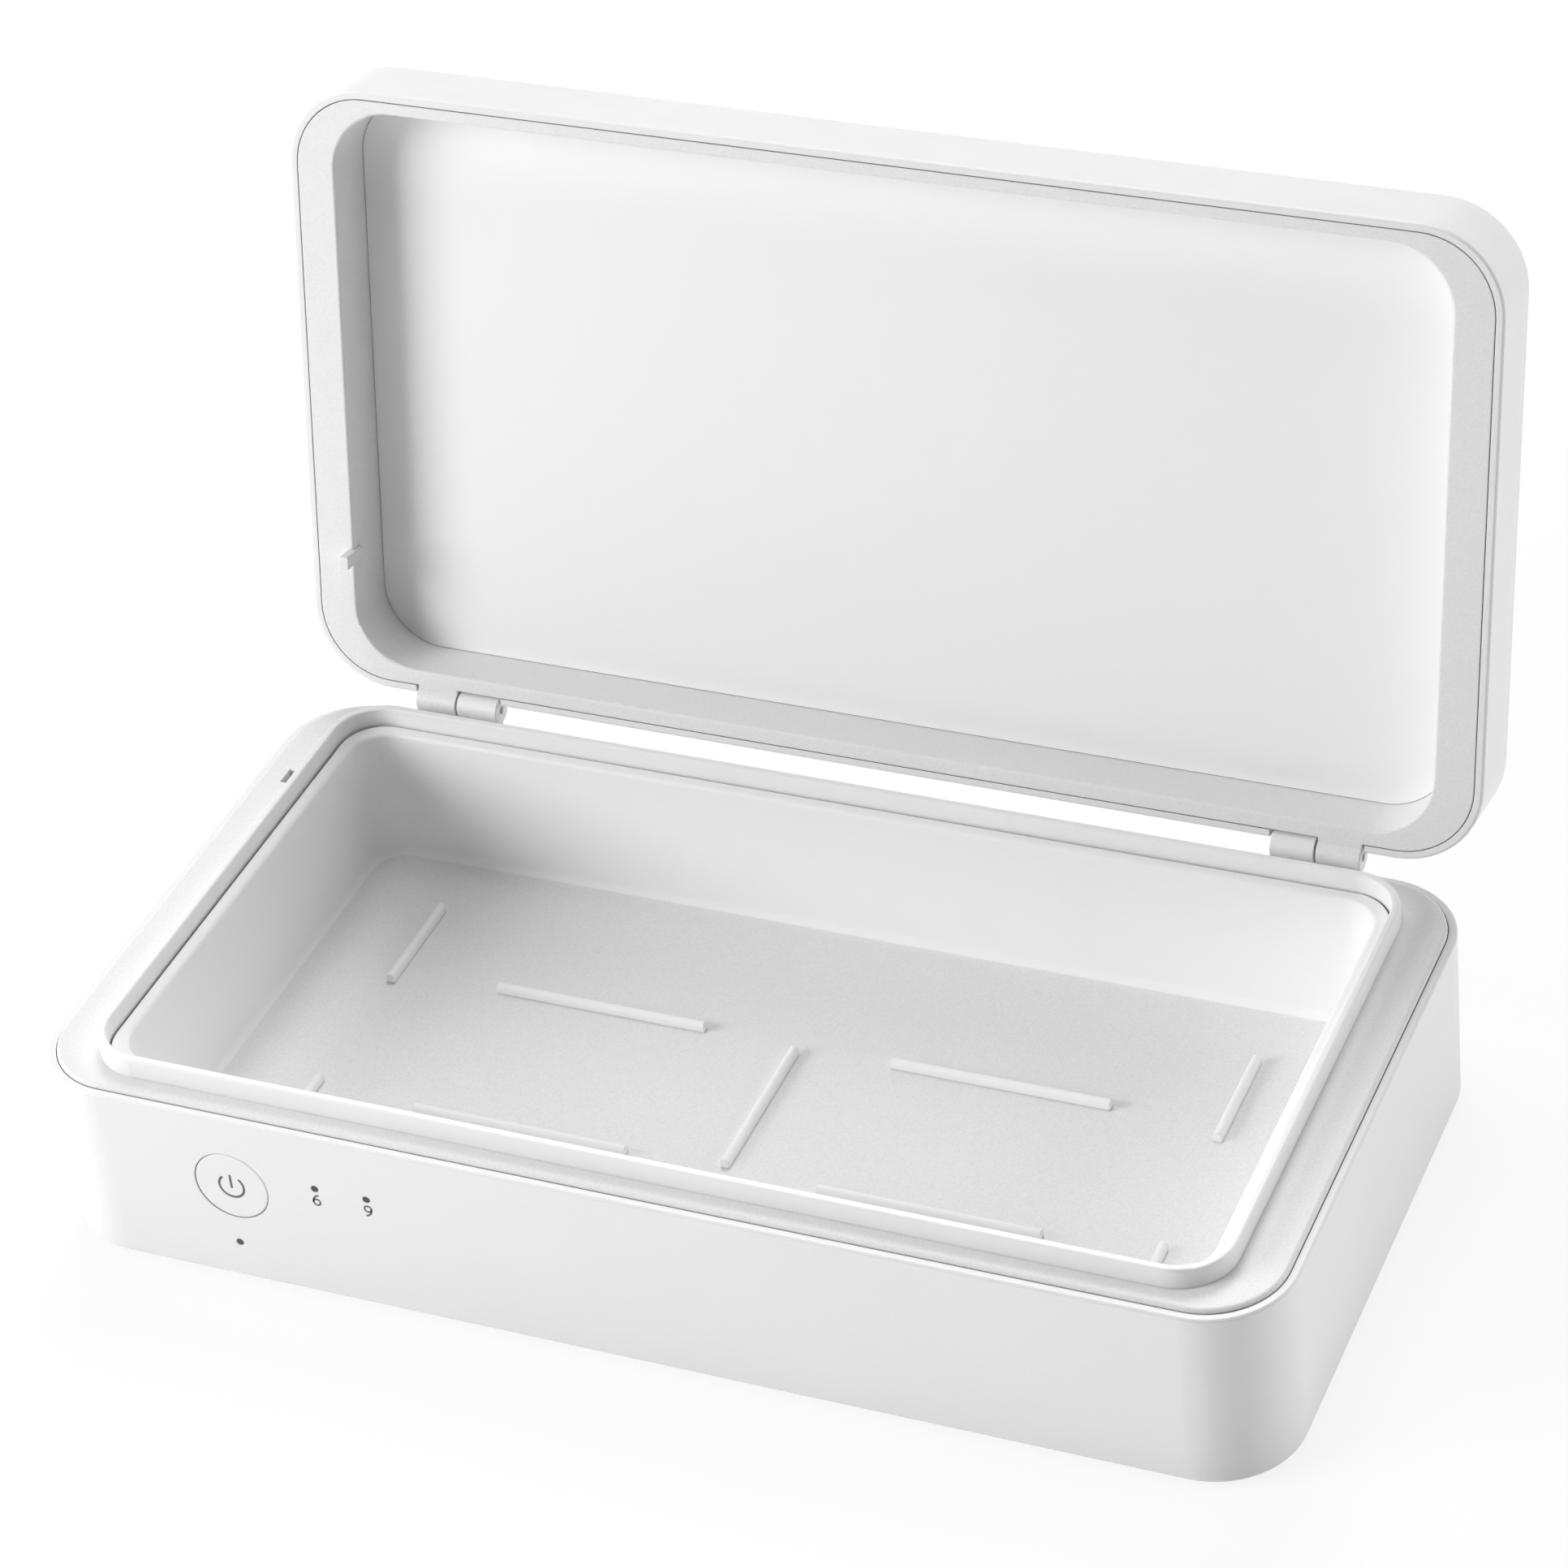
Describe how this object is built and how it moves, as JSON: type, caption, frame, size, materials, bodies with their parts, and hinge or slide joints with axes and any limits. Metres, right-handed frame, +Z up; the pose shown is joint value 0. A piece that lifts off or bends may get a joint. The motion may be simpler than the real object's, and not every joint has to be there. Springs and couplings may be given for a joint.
{
  "type": "ultraviolet phone sanitizer box",
  "caption": "Low white box with rounded corners, an open hinged lid, a ribbed phone chamber inside a raised lip, and a push button with status lights on the front.",
  "frame": {"origin": "under the middle of the whole open box, at the height of the table", "axes": "+X to the right along the front, +Y from the front to the hinged lid at the back, +Z up"},
  "size_m": [0.226, 0.1566, 0.1551],
  "materials": {
    "housing_plastic": "satin moulded plastic",
    "frame_plastic": "fine grained moulded plastic",
    "chamber_plastic": "fine grained moulded plastic",
    "panel_plastic": "smooth satin sheet",
    "button_plastic": "satin moulded plastic",
    "foot_rubber": "matt rubber",
    "screw_steel": "plated steel",
    "pin_steel": "drawn steel",
    "circuit_board": "coated laminate",
    "black_plastic": "moulded plastic",
    "light_rod": "tinted clear plastic",
    "lamp_body": "ceramic with a clear dome",
    "window_glass": "clear quartz disc",
    "lead_plastic": "flat lead",
    "socket_steel": "folded steel sleeve"
  },
  "bodies": {
    "base": {"base_shell": "housing_plastic", "deck_frame": "frame_plastic", "chamber_tub": "chamber_plastic", "rubber_feet": "foot_rubber", "bottom_screws": "screw_steel", "control_board": "circuit_board", "board_screws": "screw_steel", "push_switch": "black_plastic", "status_pipes": "light_rod", "interlock_sensor": "black_plastic", "lamp_board": "circuit_board", "lamp_screws": "screw_steel", "uv_lamps": "lamp_body", "lamp_windows": "window_glass", "lamp_lead": "lead_plastic", "power_socket": "socket_steel", "socket_board": "circuit_board", "power_lead": "lead_plastic", "hinge_pins": "pin_steel"},
    "lid": {"lid_shell": "housing_plastic", "lid_frame": "frame_plastic", "reflector_panel": "panel_plastic"},
    "button": {"power_button": "button_plastic", "switch_plunger": "black_plastic"}
  },
  "joints": [
    {"name": "lid_hinge", "type": "hinge", "parent": "base", "child": "lid", "pos_m": [0, 0.04011, 0.0389], "axis": [1, 0, 0], "range_deg": [0, 101.5]},
    {"name": "button_press", "type": "slide", "parent": "base", "child": "button", "axis": [0, 1, 0], "range_m": [0, 0.0006], "stiffness_N_per_m": 800}
  ]
}
